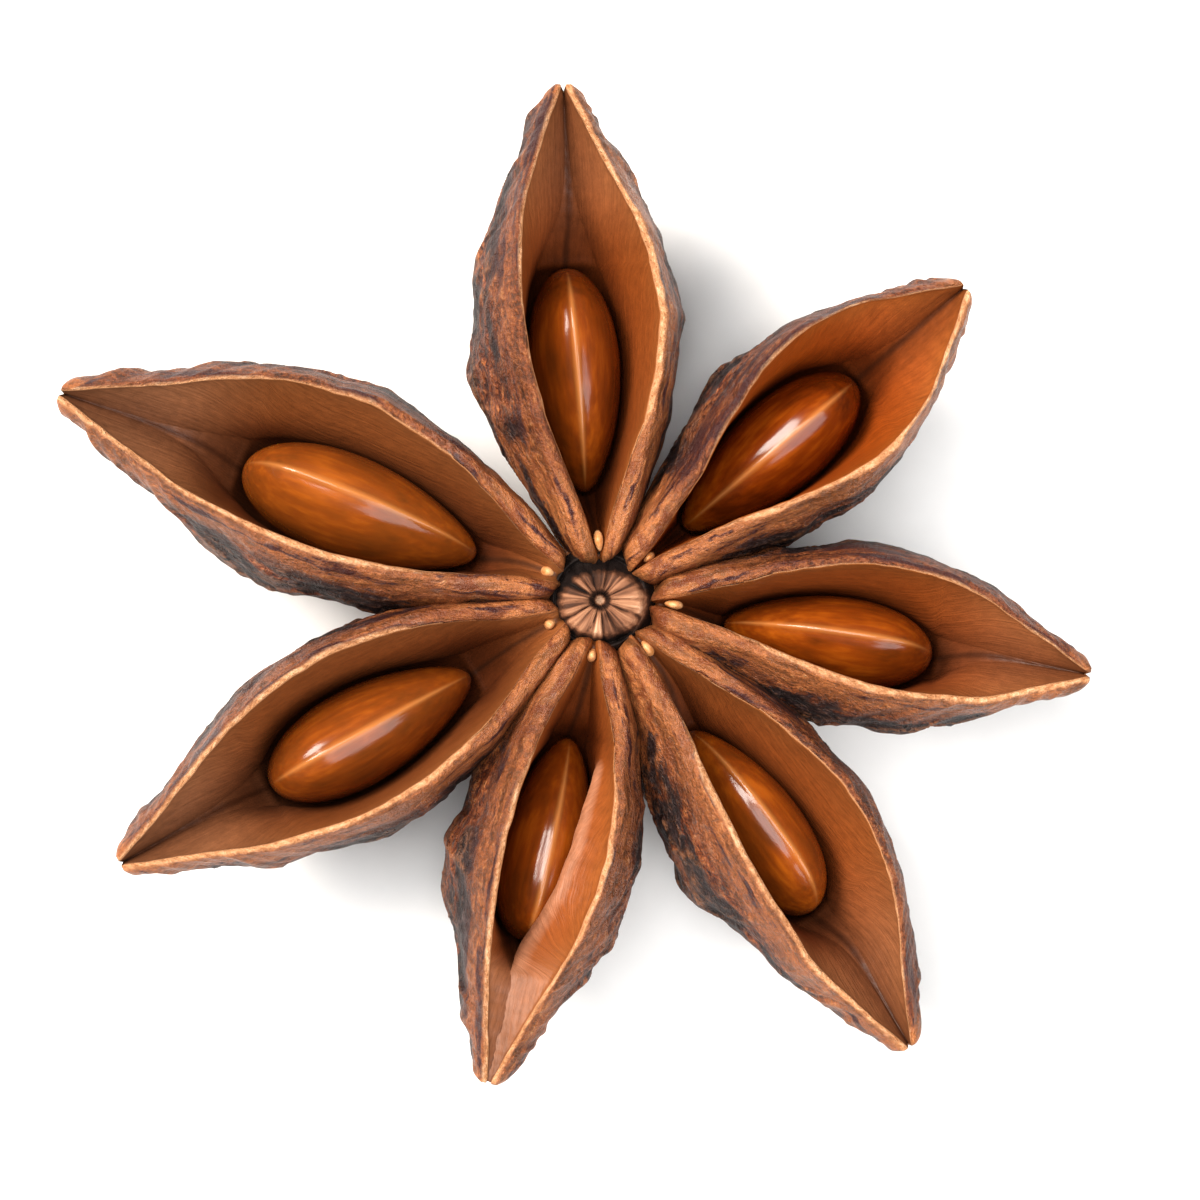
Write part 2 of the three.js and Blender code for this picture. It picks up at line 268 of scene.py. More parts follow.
    # The split edge is bare and pale, worn through in places.
    edge = add(tree, "Math", from_edge, operation="ABSOLUTE")
    split = add(tree, "Math", edge, -1.0, add(tree, "Math", streaks, 0.45, operation="MULTIPLY"),
                operation="MULTIPLY_ADD")
    split = add(tree, "Math", split, 0.08, operation="SUBTRACT")
    split = add(tree, "Math", rub, 0.26, split, operation="MULTIPLY_ADD")
    split = add(tree, "Math", by_column, -0.3, split, operation="MULTIPLY_ADD")
    split = add(tree, "MapRange", split, 0.1, 0.26, interpolation_type="SMOOTHSTEP")
    pale = add(
        tree, "ValToRGB", fine, stops=[(0.34, "#9c643c"), (0.5, "#be865a"), (0.68, "#d8a981")]
    )
    tones = add(tree, "Mix", split, tones, pale, data_type="RGBA")
    tree.links.new(tones, shader.inputs["Base Color"])
    gloss = add(tree, "MapRange", rubbed, 0.0, 1.0, 0.52, 0.32)
    tree.links.new(gloss, shader.inputs["Roughness"])
    shader.inputs["IOR"].default_value = 1.45
    shader.inputs["Specular IOR Level"].default_value = 0.3
    height = add(tree, "Math", grit, 0.5, granules, operation="MULTIPLY_ADD")
    height = add(tree, "Math", streaks, 0.3, height, operation="MULTIPLY_ADD")
    height = add(tree, "Math", crest, 0.4, height, operation="MULTIPLY_ADD")
    bump = add(tree, "Bump", Height=height, Strength=0.9, Distance=0.00015)
    tree.links.new(bump, shader.inputs["Normal"])
    return skin


skin = skin_finish()


# The wedges of the disc are the same tissue as the skin, but drier and paler, with a pink cast.
# Painted shade turns their creases almost black and darkens the rim and round the hole, and
# painted light makes the east and south lighter. On the column, "form" starts with this tone.
def wedge_finish():
    wedge, tree, shader = shell("dried_disc_tissue")
    grain = add(tree, "Attribute", attribute_name="grain").node.outputs["Vector"]
    form = add(tree, "Attribute", attribute_name="form").node.outputs["Vector"]
    tone_and_painted_light = add(tree, "SeparateXYZ", form)
    grit = add(tree, "TexNoise", Vector=grain, Scale=5.0, Detail=4.0, Roughness=0.65)
    # The tone from "form" carries the painted light and shade of the disc.
    level = add(tree, "Math", grit, 0.9, tone_and_painted_light, operation="MULTIPLY_ADD")
    tones = add(
        tree, "ValToRGB", add(tree, "MapRange", level, 0.3, 1.6),
        stops=[(0.0, "#140b08"), (0.4, "#492c1d"), (0.6, "#80543b"), (0.8, "#a87757"),
               (1.0, "#d3a685")],
    )
    tree.links.new(tones, shader.inputs["Base Color"])
    shader.inputs["Roughness"].default_value = 0.7
    shader.inputs["IOR"].default_value = 1.45
    shader.inputs["Specular IOR Level"].default_value = 0.2
    bump = add(tree, "Bump", Height=grit, Strength=0.7, Distance=0.00012)
    tree.links.new(bump, shader.inputs["Normal"])
    return wedge


wedge = wedge_finish()


def column_piece():
    radius = curve(
        (0, 0), (0.03, 0.5), (0.07, 1.1), (0.1, 1.25), (0.2, 1.15), (0.3, 1.2), (0.4, 2.0),
        (0.52, 2.35), (0.66, 1.9), (0.76, 1.36), (0.82, 1.22), (0.88, 0.8), (0.93, 0.42),
        (0.96, 0.26), (0.985, 0.2), (1, 0),
    )
    level = curve(
        (0, 0), (0.03, 0), (0.07, 0), (0.1, 0.08), (0.2, 0.8), (0.3, 1.5), (0.4, 2.4),
        (0.52, 3.8), (0.66, 5.3), (0.76, 6.4), (0.82, 6.72), (0.88, 6.86), (0.93, 6.8),
        (0.96, 6.6), (0.985, 6.3), (1, 6.25),
    )
    rings = np.linspace(0, 1, COLUMN_RINGS)
    bm = bmesh.new()
    line = [bm.verts.new((r, 0, z)) for r, z in zip(np.maximum(radius(rings), 0), level(rings))]
    edges = [bm.edges.new(pair) for pair in zip(line, line[1:])]
    bmesh.ops.spin(
        bm, geom=line + edges, cent=(0, 0, 0), axis=(0, 0, 1), angle=2 * math.pi,
        steps=COLUMN_TURNS, use_merge=True,
    )
    bmesh.ops.remove_doubles(bm, verts=bm.verts, dist=1e-5)
    x, y, z = np.array([vert.co for vert in bm.verts]).T
    reach, angle = np.hypot(x, y), np.arctan2(y, x)
    bent = angle + 0.3 * wander(np.cos(angle) * 1.6, np.sin(angle) * 1.6, 3.1)
    bent = bent + 0.12 * wander(x * 2.1, y * 2.1, 8.4) * ease(reach, 0.3, 1.0)
    pinch = np.abs(np.sin(0.5 * LOBES * bent))
    on_top = ease(z, 6.2, 6.6) * ease(reach, 0.2, 0.5) * (1 - ease(reach, 1.25, 1.4))
    depth = 0.55 + 0.9 * wander(np.cos(angle) * 3.3, np.sin(angle) * 3.3, 6.2)
    crease = (1 - pinch**0.5) * on_top * np.clip(depth, 0.12, 0.85)
    own = wander(np.floor(bent * LOBES / (2 * math.pi)) * 3.7, 1.3, 0.4) * on_top
    streak = wander(np.cos(angle) * 9, np.sin(angle) * 9, reach * 0.6) * on_top
    z = z - CREASE_DEPTH * crease + 0.07 * own + 0.03 * streak
    from_disc = np.hypot(
        (x - DISC_CENTRE[0]) / DISC_HALF_WIDTHS[0], (y - DISC_CENTRE[1]) / DISC_HALF_WIDTHS[1]
    )
    z = z - 0.5 * on_top * ease(from_disc, 0.8, 1.15)
    # The scar: a rough, slightly hollow break, off the axis by a little.
    at_scar = 1 - ease(z, 1, 3)
    swell = 1 + at_scar * (0.05 * np.sin(3 * angle + 0.4) + 0.04 * np.cos(2 * angle + 1.1))
    torn = ease(0.3 - z, 0, 0.25) * (1 - ease(reach, 0.7, 1.15))
    ragged = 0.09 * wander(x * 4, y * 4, 5.0) + 0.05 * wander(x * 11, y * 11, 2.0)
    z = z + torn * (SCAR_HOLLOW + ragged)
    x, y = x * swell + STALK_OFFSET * at_scar, y * swell
    put(bm, np.stack([x, y, np.maximum(z, 0)], axis=1))
    for face in bm.faces:
        top = sum(vert.co.z for vert in face.verts) / len(face.verts)
        face.material_index = int(top > DISC_FROM * MM or top < SCAR_TO * MM)
    mesh = mesh_of("column", bm)
    ribs = wander(np.cos(angle) * 7, np.sin(angle) * 7, z * 0.5)
    mark(mesh, "grain", z, 1.3 * np.cos(angle), 50.0 + 1.3 * np.sin(angle))
    # Painted light and shade: lighter to the east and south, where the light falls, and darker in
    # the creases, at the rim and round the hole. own and streak are the wedges' own tones.
    disc_tone_and_painted_light = 0.64 + 0.12 * (x - 1.6 * y) - crease + 0.16 * own + 0.5 * streak
    disc_tone_and_painted_light = disc_tone_and_painted_light - 1.1 * ease(from_disc, 0.86, 1.1)
    light = np.where(z > 3, disc_tone_and_painted_light * ease(reach, 0.24, 0.36), 0.45 + 0.5 * torn)
    speck = (reach < 0.12) & (z > 6)
    mark(mesh, "form", np.where(speck, 1.2, light), reach - 9, 0.04 * ribs)
    mark(mesh, "wear", np.full(len(z), 0.5), 0, 0)
    raise_skin(mesh, 0.04 * ribs * (1 - on_top) * (1 - torn))
    finish_piece("column", mesh, "husk", ["husk"], skin, wedge)


column_piece()


# ---------------------------------------------------------------------------------- the follicles
# A follicle is a boat-shaped seed case. It split along its upper edge as it dried, and its two
# halves gaped into lips. Outside is the wrinkled skin; inside, a smooth, hard, satin wall.
RIM_HEIGHT = 7.7
ROOT_RADIUS = 0.75
KEEL_SINK = 0.14
ROLL_PIVOT_DEPTH = 3.6
SEED_THICKNESS, SEED_HEIGHT, SEED_DEPTH = 2.7, 4.4, 1.45
SEED_ROOM = 0.08
WALL_BOW = 1.15
BEAK_FROM = 0.78
GAPE_PEAK = 0.52
OUTER_STEPS, LIP_STEPS, INNER_STEPS = 80, 14, 46
HALF_STEPS = OUTER_STEPS + LIP_STEPS + INNER_STEPS
STATIONS = 184
# base and tip are the azimuths of the two ends, from +X towards +Y, reach the distance of the beak
# from the axis, and bow the bend of the middle line. width is half the width over all, and gape
# half of that between the lips, which is widest at the share peak. roll is how many degrees the
# boat leans, lift the rise of its beak, closed how early its floor rises, beak half the gap left at
# the beak, and nib the distance of the lips' inner ends from the axis. rub says how far the lips
# are worn, ahead and behind, and so how much painted sheen they get, and tint how warm the wall
# is, which also sets a painted glow in its depths. seed is where along the length the seed lies,
# its shift aside, its length and its plumpness, fade how soon past it the hollow closes, and turn
# how many degrees it is turned about its own length.
FOLLICLES = [
    dict(name="north", base=96, tip=94.1, reach=15.1, bow=0.3, width=3.15, gape=1.98,
         peak=0.53, roll=-11, lift=0.7, closed=0, beak=0.13, nib=1.12,
         rub=(0.3, 0.8), tint=0.45, seed=(0.4, -0.05, 6.6, 0.99), fade=0.8, turn=8),
    dict(name="northwest", base=152, tip=159, reach=16.9, bow=0.05, width=3.2, gape=2.27,
         peak=0.49, roll=-11, lift=0.6, closed=0, beak=0.04, nib=1.32,
         rub=(0.75, 0.3), tint=0.1, seed=(0.42, 0.1, 7.3, 1.09), fade=0.8, turn=0),
    dict(name="southwest", base=203, tip=208.8, reach=16, bow=0.05, width=2.95, gape=2.24,
         peak=0.47, roll=-2, lift=0.5, closed=0, beak=0.03, nib=1.18,
         rub=(0.75, 0.5), tint=0.15, seed=(0.46, 0.1, 6.7, 1.05), fade=0.8, turn=0),
    dict(name="south", base=260, tip=257, reach=14.5, bow=0, width=3, gape=1.45,
         peak=0.46, roll=6, lift=0.5, closed=0.3, beak=0.12, nib=1.14,
         rub=(0.55, 0.55), tint=0.5, seed=(0.47, 0, 6.1, 0.97), fade=0.35, turn=0),
    dict(name="southeast", base=308, tip=304.7, reach=15.9, bow=0.1, width=2.95, gape=1.8,
         peak=0.56, roll=15, lift=0.4, closed=0, beak=0.03, nib=1.4,
         rub=(0.2, 0.8), tint=0.35, seed=(0.47, -0.2, 6.4, 0.97), fade=0.8, turn=0),
    dict(name="east", base=353, tip=351.3, reach=14.5, bow=0, width=2.75, gape=1.75,
         peak=0.57, roll=8.5, lift=0.3, closed=0, beak=0.08, nib=1.6,
         rub=(0.15, 0.85), tint=0.5, seed=(0.44, -0.17, 6.2, 0.96), fade=0.8, turn=0),
    dict(name="northeast", base=402, tip=400.6, reach=14.05, bow=0, width=2.75, gape=2.07,
         peak=0.62, roll=0, lift=0.8, closed=0, beak=0.03, nib=1.27,
         rub=(0.15, 0.85), tint=0.9, seed=(0.437, 0, 6.6, 1.01), fade=0.8, turn=0),
]

rim_drop = curve(
    (0, 0.95), (0.1, 0.5), (0.25, 0.15), (0.45, 0), (0.7, 0.12), (0.88, 0.42), (1, 0.55)
)
keel_height = curve(
    (0, 3.4), (0.1, 2.2), (0.25, 0.55), (0.42, 0), (0.58, 0.65), (0.74, 2.5), (0.88, 4.9), (1, 7.1)
)
width_share = curve(
    (0, 0.14), (0.1, 0.39), (0.2, 0.61), (0.3, 0.82), (0.48, 1), (0.58, 0.96), (0.78, 0.63),
    (1, 0.16)
)
gape_share = curve(
    (0, 0.05), (0.09, 0.2), (0.17, 0.36), (0.33, 0.77), (0.52, 1), (0.71, 0.83), (0.86, 0.42),
    (1, 0)
)
roll_share = curve(
    (0, 0.2), (0.16, 0.62), (0.26, 0.8), (0.45, 1), (0.64, 0.88), (0.76, 0.55), (0.88, 0.22), (1, 0)
)
lip_thickness = curve(
    (0, 0.42), (0.04, 0.46), (0.1, 0.68), (0.17, 0.66), (0.28, 0.46), (0.45, 0.32), (0.9, 0.25),
    (0.97, 0.3), (1, 0.38)
)
valley_depth = curve(
    (0, 0.1), (0.05, 0.5), (0.12, 1.4), (0.2, 2.4), (0.4, 3.2), (0.6, 3.3), (0.68, 2.7),
    (0.76, 1.95), (0.85, 1.25), (0.93, 0.8), (1, 0.45)
)
bowl_share = curve(
    (0, 0.3), (0.3, 0.5), (0.58, 0.58), (0.66, 0.42), (0.75, 0.18), (0.86, 0.08), (1, 0.05)
)


def middle_line(follicle, share):
    """Points of the middle line in plan, and the directions along it and across it."""
    def at(azimuth, radius):
        turn = math.radians(azimuth)
        return radius * np.array([math.cos(turn), math.sin(turn)])

    share = np.asarray(share, float)[..., None]
    root, tip = at(follicle["base"], ROOT_RADIUS), at(follicle["tip"], follicle["reach"])
    chord = (tip - root) / np.linalg.norm(tip - root)
    bend = (root + tip) / 2 + 2 * follicle["bow"] * np.array([-chord[1], chord[0]])
    point = root * (1 - share) ** 2 + 2 * bend * share * (1 - share) + tip * share**2
    along = 2 * (1 - share) * (bend - root) + 2 * share * (tip - bend)
    along = along / np.linalg.norm(along, axis=-1, keepdims=True)
    return point, along, np.stack([-along[..., 1], along[..., 0]], axis=-1)


def rim_height(follicle, share):
    return RIM_HEIGHT - rim_drop(share) + follicle["lift"] * ease(share, BEAK_FROM, 1)


def placed(follicle, share, aside, height):
    """Where section points (distance towards the side ahead, height) lie on the fruit."""
    point, _, across = middle_line(follicle, share)
    roll = np.radians(follicle["roll"]) * roll_share(share)
    pivot = RIM_HEIGHT - ROLL_PIVOT_DEPTH
    turned_aside = -aside * np.cos(roll) - (height - pivot) * np.sin(roll)
    turned_height = -aside * np.sin(roll) + (height - pivot) * np.cos(roll) + pivot
    plan = point - across * turned_aside[..., None]
    return np.concatenate([plan, turned_height[..., None]], axis=-1)


def cubic(a, b, c, d, t):
    return a * (1 - t) ** 3 + 3 * b * t * (1 - t) ** 2 + 3 * c * t * t * (1 - t) + d * t**3


def larger(a, b):
    """The larger of two lengths, rounded off where they are equal."""
    return (np.abs(a) ** 8 + np.abs(b) ** 8) ** 0.125


# The two lips end beside the disc as blunt, rounded nibs, at the distance "nib" from the axis, and
# at the beak as rounded lobes.
NIB_LENGTH, NIB_DROP = 0.42, 0.55
BEAK_ROUND, BEAK_SINK = 0.3, 0.12
LIP_WAVER, LIP_NICKS = 0.06, 0.02
# The inner wall of the south follicle's east half has folded in over its seed. Its lower edge
# hangs this far below the lips, at these distances from the middle. The fold turns back, and meets
# the wall again, at these shares of the way down the inside.
FOLD_DEPTH = 1.28
FOLD_TURN, FOLD_BACK = 0.2, 0.34
fold_edge = curve((0.2, 0.95), (0.34, 0.66), (0.5, 0.45), (0.62, 0.14), (0.73, -0.3), (1, -0.1))


def follicle_sections(follicle, phase):
    """The places of all stations and steps, with the millimetres round each section."""
    share = np.linspace(0, 1, STATIONS + 1)[:, None]
    share = 0.45 * share + 0.55 * (0.5 - 0.5 * np.cos(math.pi * share))
    step = np.arange(-HALF_STEPS, HALF_STEPS + 1)[None, :]
    side, count = np.where(step < 0, -1, 1), np.abs(step)
    run = np.where(
        count <= OUTER_STEPS, count / OUTER_STEPS,
        np.where(
            count <= OUTER_STEPS + LIP_STEPS, 1 + (count - OUTER_STEPS) / LIP_STEPS,
            2 + (count - OUTER_STEPS - LIP_STEPS) / INNER_STEPS,
        ),
    )
    point, _, _ = middle_line(follicle, share[:, 0])
    from_axis = np.linalg.norm(point, axis=-1)[:, None]
    length = follicle["reach"] - ROOT_RADIUS
    along = share * length
    # The edge of the lips wavers, and is nicked here and there.
    waver = wander(along * 0.75, side * 3.1, phase * 7.3)
    waver = waver + 0.5 * wander(along * 2.6, side * 1.7, phase * 3.9)
    nicks = wander(along * 5.5, side * 5.3, phase * 2.1)
    edge_share = ease(share, 0.1, 0.25) * (1 - 0.5 * ease(share, 0.9, 1))
    nib = np.clip(1 - (from_axis - follicle["nib"]) / NIB_LENGTH, 0, 1)
    nib_drop = NIB_DROP * (1 - np.sqrt(1 - 0.98 * nib**2))
    nib_drop = nib_drop + 2.5 * np.clip(follicle["nib"] - from_axis, 0, 1)
    top = rim_height(follicle, share) - nib_drop
    top = top + edge_share * (LIP_WAVER * waver + LIP_NICKS * nicks)
    keel = keel_height(share) - KEEL_SINK
    depth = top - keel
    width = follicle["width"] * width_share(share)
    skewed = share ** (math.log(GAPE_PEAK) / math.log(follicle["peak"]))
    gape = follicle["gape"] * gape_share(skewed) + edge_share * 0.05 * waver
    gape = gape - 0.11 * ease(share, 0.0, 0.04) * (1 - ease(share, 0.09, 0.2))
    closed = follicle["closed"]
    shut = ease(share, 0.92 - closed, 1.08 - closed) * (closed > 0)
    left_open = (share > 0.5) * (1 - 0.8 * ease(share, 0.96, 1))
    gape = np.maximum(gape, follicle["beak"] * left_open)
    # The beak ends bluntly, each lip rounded off by itself.
    blunt = np.clip((along - length + BEAK_ROUND) / BEAK_ROUND, 0, 1)
    rounded = np.sqrt(1 - 0.985 * blunt**2)
    lip = lip_thickness(share) * (1 + 0.16 * wander(along * 1.3, side * 2.3, phase * 5.7))
    lip = lip * np.sqrt(np.clip(1.02 - nib**3, 0.05, 1))
    gape = gape + 0.3 * lip * (1 - rounded)
    lip = lip * rounded
    width = width * (0.15 + 0.85 * rounded)
    top = top - BEAK_SINK * (1 - rounded)
    lip_out = np.minimum(gape + lip, np.maximum(width, gape + 0.1))
    lip_foot = top - 0.5 * lip
    # Outside, from the keel up to the lip.
    up = np.clip(run, 0, 1)
    half = (lip_out - gape) / 2
    lean_in = np.arctan2(1.36 * width - lip_out, lip_foot - keel - 0.6 * depth)
    lean_in = np.clip(lean_in, 0, 1.2)
    shoulder_aside = gape + half + half * np.cos(lean_in)
    shoulder_height = lip_foot + 0.5 * lip * np.sin(lean_in)
    out_aside = cubic(0, 0.66 * width, 1.36 * width, shoulder_aside, up)
    out_height = cubic(keel, keel + 0.03 * depth, keel + 0.6 * depth, shoulder_height, up)
    # Over the lip.
    over = lean_in + np.clip(run - 1, 0, 1) * (math.pi - lean_in)
    over_aside = gape + half + half * np.cos(over)
    over_height = lip_foot + 0.5 * lip * np.sin(over)
    # Down the inside: a bowed slope from the lip to the widest level of the seed, and then close
    # round the seed. Past the seed's ends the two slopes meet in a shallower and shallower groove.
    down = np.clip(run - 2, 0, 1)
    at, lean, seed_length, plump = follicle["seed"]
    outwards = (share - at) * length / (0.5 * seed_length + SEED_ROOM)
    within = np.clip(outwards, -1, 1)
    swell = plump * (1 + 0.2 * within - 0.1 * within**2) * np.sqrt(1 - within**2)
    past = 0.5 * seed_length * np.clip(np.abs(outwards) - 1, 0, None)
    near_seed = np.exp(-((past / follicle["fade"]) ** 1.5))
    valley = valley_depth(share) * (1 - 0.72 * shut)
    level = valley + (SEED_DEPTH + SEED_HEIGHT / 2 - valley) * near_seed
    level = np.maximum(level, 0.5 * lip + 0.05)
    bowl = bowl_share(share) * gape
    hug = larger(0.5 * SEED_THICKNESS * swell + SEED_ROOM * near_seed, bowl)
    sink = larger(0.5 * SEED_HEIGHT * swell + SEED_ROOM * near_seed, 0.3 * bowl)
    slope_to = 0.66 - 0.21 * near_seed

    def wall(t):
        slope = np.clip(t / slope_to, 0, 1)
        under = np.clip((t - slope_to) / (1 - slope_to), 0, 1) * math.pi / 2
        aside_here = hug + (gape - hug) * (1 - slope**WALL_BOW)
        depth_here = 0.5 * lip + (level - 0.5 * lip) * slope
        aside_here = np.where(under > 0, hug * np.cos(under), aside_here)
        depth_here = np.where(under > 0, level + sink * np.sin(under), depth_here)
        return aside_here + lean * side * near_seed * ease(depth_here, 0.4, 3), top - depth_here

    in_aside, in_height = wall(down)
    bare = 0 * in_aside
    if follicle["name"] == "south":
        face = ease(share, 0.24, 0.31) * (side > 0)
        fold_depth = FOLD_DEPTH + (valley - FOLD_DEPTH) * ease(share, 0.58, 0.76)
        ledge = fold_edge(share) + 0.04 * waver
        back_aside, back_height = wall(FOLD_BACK)
        first = np.clip(down / FOLD_TURN, 0, 1)
        back = np.clip((down - FOLD_TURN) / (FOLD_BACK - FOLD_TURN), 0, 1)
        bulge = 0.12 * np.sin(math.pi * first)
        fold_aside = gape + (ledge - gape) * first + (back_aside - ledge) * back + bulge
        fold_height = lip_foot + (top - fold_depth - lip_foot) * first
        fold_height = fold_height + (back_height - top + fold_depth) * back
        folded = face * (down < FOLD_BACK)
        # Past the seed there is no room behind the fold: it lies on the floor up to the beak.
        floor = np.clip((down - FOLD_TURN) / (1 - FOLD_TURN), 0, 1)
        laid = ease(share, 0.7, 0.77) * (down > FOLD_TURN)
        fold_aside = fold_aside + laid * (ledge * (1 - floor) - fold_aside)
        fold_height = fold_height + laid * (top - fold_depth - 0.2 * floor - fold_height)
        folded = np.maximum(folded, face * laid)
        in_aside = in_aside + folded * (fold_aside - in_aside)
        in_height = in_height + folded * (fold_height - in_height)
        bare = folded * ease(first, 0.45, 0.95) * (1 - 0.5 * ease(down, FOLD_TURN, FOLD_BACK))
        bare = np.maximum(bare, 0.55 * ease(share, 0.66, 0.76) * (down > 0))
    aside = np.where(run <= 1, out_aside, np.where(run < 2, over_aside, in_aside))
    height = np.where(run <= 1, out_height, np.where(run < 2, over_height, in_height))
    travel = np.hypot(np.diff(side * aside, axis=1), np.diff(height, axis=1))
    travel = np.concatenate([0 * share, np.cumsum(travel, axis=1)], axis=1)
    around = np.abs(travel - travel[:, HALF_STEPS : HALF_STEPS + 1])
    # At an open beak the two lips reach farther out than the groove and the keel between them.
    between = np.where(run <= 1, 1 - up, ease(down, 0, 0.5))
    notch = (0.006 + 0.08 * follicle["beak"]) * ease(share, 0.95, 1)
    places = placed(follicle, share - notch * between, side * aside, height)
    middle = np.zeros((1, 1))
    root_height = np.full((1, 1), (keel_height(0.0) + rim_height(follicle, 0.0)) / 2 - 1.2)
    beak_height = np.full((1, 1), rim_height(follicle, 1.0) - 0.2 - follicle["beak"])
    places[0] = placed(follicle, middle, middle, root_height)[0]
    places[-1] = placed(follicle, middle + 0.994 - 0.08 * follicle["beak"], middle, beak_height)[0]
    return share, side, run, along, around, places, (top - height) / 4.0, bare


# How high the lumps, folds, netted creases, fine grain and lengthwise cords of the skin stand.
LUMP_HEIGHT, FOLD_HEIGHT, CREASE_HEIGHT = 0.085, 0.1, 0.04
GRAIN_HEIGHT, CORD_HEIGHT = 0.025, 0.06


def skin_relief(share, side, run, along, around, phase):
    """Lumps, netted wrinkles and lengthwise ridges of the outer skin, in millimetres."""
    rough = ease(share, 0.12, 0.45) * (1 - ease(share, 0.93, 0.99))
    rough = rough * np.sin(math.pi * np.clip(run, 0, 1))
    index_phase = phase + side
    lumps = (
        np.sin(23 * share + 5 * run + 1.9 * index_phase)
        + 0.7 * np.sin(37 * share - 9 * run + 4.1 * index_phase)
        + 0.8 * np.sin(11 * run + 13 * share + 2.7 * index_phase)
    )
    lumps = LUMP_HEIGHT * rough * lumps
    outer = np.broadcast_to(run <= 1.35, around.shape)
    u = np.broadcast_to(along, around.shape)[outer]
    v = (side * around)[outer]
    up = np.broadcast_to(run, around.shape)[outer]
    w = phase * 11.7
    bent_u = u + 0.5 * wander(u * 0.9, v * 0.9, w + 3)
    bent_v = v + 0.5 * wander(u * 0.9, v * 0.9, w + 5)
    # Crests run where the noise crosses zero, so they meander and close into loops.
    folds = np.exp(-((wander(bent_u * 0.42, bent_v * 0.6, w) / 0.13) ** 2))
    creases = np.exp(-((wander(bent_u * 0.95, bent_v * 1.3, w + 7) / 0.14) ** 2))
    fine = wander(u * 2.6, v * 3.0, w + 9)
    cords = wander(u * 0.32, v * 2.8, w + 17)
    here = np.broadcast_to(share, around.shape)[outer]
    spread = ease(here, 0.06, 0.3) * (1 - 0.8 * ease(here, 0.93, 0.99))
    flank = (1 - ease(up, 0.72, 0.98)) * spread
    band = ease(up, 0.5, 0.85) * (1 - ease(up, 1.0, 1.35))
    relief = np.zeros(around.shape)
    relief[outer] = flank * (FOLD_HEIGHT * folds + CREASE_HEIGHT * creases - 0.04)
    fine = fine * (1 - ease(up, 1.0, 1.3)) * (1 - ease(here, 0.9, 0.98))
    relief[outer] += GRAIN_HEIGHT * fine * (0.4 + flank)
    relief[outer] += CORD_HEIGHT * cords * (0.35 * flank + band) * spread
    return lumps, relief
